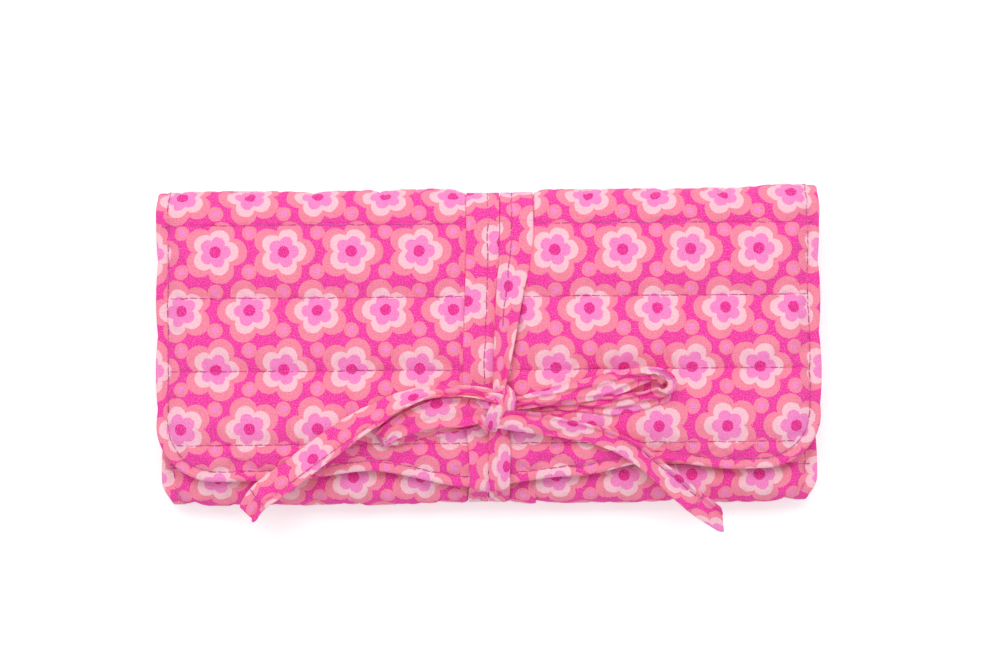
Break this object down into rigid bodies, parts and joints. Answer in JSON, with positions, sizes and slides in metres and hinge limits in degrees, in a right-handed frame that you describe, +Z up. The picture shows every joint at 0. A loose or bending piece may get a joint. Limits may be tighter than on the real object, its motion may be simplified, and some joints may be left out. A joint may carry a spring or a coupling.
{
  "type": "jewelry pouch",
  "caption": "Quilted printed-cotton jewelry pouch, folded in three over a zip pocket and held shut by a wrapped fabric tie knotted in a bow.",
  "frame": {"origin": "centre of the closed pouch's footprint, on the surface it lies on", "axes": "+X along the pouch, +Y towards its top fold, +Z up from its back to its flap"},
  "size_m": [0.222, 0.1171, 0.0294],
  "materials": {
    "print_cotton": "matt printed plain-weave cotton",
    "wadding": "lofty white polyester wadding",
    "lining": "matt plain pale pink cotton",
    "thread": "slightly glossy orchid sewing thread",
    "zip_tape": "matt woven pink tape",
    "zip_coil": "satin nylon coil",
    "zip_metal": "polished pale brass"
  },
  "bodies": {
    "back": {"back_cover": "print_cotton", "back_wadding": "wadding", "back_lining": "lining", "bottom_fold": "print_cotton", "top_fold": "print_cotton", "tie_back_upper": "print_cotton", "tie_back_lower": "print_cotton", "tie_back_cross": "print_cotton", "tie_bartack": "thread", "tie_top_flat": "print_cotton", "tie_top_second": "print_cotton", "tie_bottom_flat": "print_cotton", "tie_bottom_strand": "print_cotton", "pocket_lower": "lining", "pocket_upper": "lining", "zip_tape_lower": "zip_tape", "zip_tape_upper": "zip_tape", "zip_coil_lower": "zip_coil", "zip_coil_upper": "zip_coil", "zip_end_tab_left": "lining", "zip_end_tab_right": "lining", "zip_stop_left": "zip_metal", "zip_stop_right": "zip_metal"},
    "front": {"front_cover": "print_cotton", "front_wadding": "wadding", "front_lining": "lining"},
    "flap": {"flap_cover": "print_cotton", "flap_wadding": "wadding", "flap_lining": "lining", "slip_pocket": "lining", "slip_pocket_binding": "print_cotton", "tie_front_flat": "print_cotton", "tie_front_second": "print_cotton", "tie_front_strand": "print_cotton", "bow_knot": "print_cotton", "bow_loop_left": "print_cotton", "bow_loop_right": "print_cotton", "bow_tail_left": "print_cotton", "bow_tail_right": "print_cotton"},
    "zip_slider": {"zip_slider": "zip_metal"},
    "zip_pull": {"zip_pull": "zip_metal"}
  },
  "joints": [
    {"name": "flap_fold", "type": "hinge", "parent": "back", "child": "flap", "pos_m": [0, 0.0412, 0.0113], "axis": [-1, 0, 0], "range_deg": [0, 170], "deforming": ["top_fold", "tie_top_flat", "tie_top_second"]},
    {"name": "front_fold", "type": "hinge", "parent": "back", "child": "front", "pos_m": [0, -0.045, 0.0075], "axis": [1, 0, 0], "range_deg": [0, 180], "deforming": ["bottom_fold", "tie_bottom_flat", "tie_bottom_strand"]},
    {"name": "zip_slide", "type": "slide", "parent": "back", "child": "zip_slider", "axis": [-1, 0, 0], "range_m": [0, 0.173]},
    {"name": "zip_pull_flip", "type": "hinge", "parent": "zip_slider", "child": "zip_pull", "pos_m": [0.0867, 0.0232, 0.0086], "axis": [0, -1, 0], "range_deg": [0, 180]}
  ],
  "couplings": [
    {"joint": "front_fold", "follows": "flap_fold", "ratio": 1.05}
  ]
}
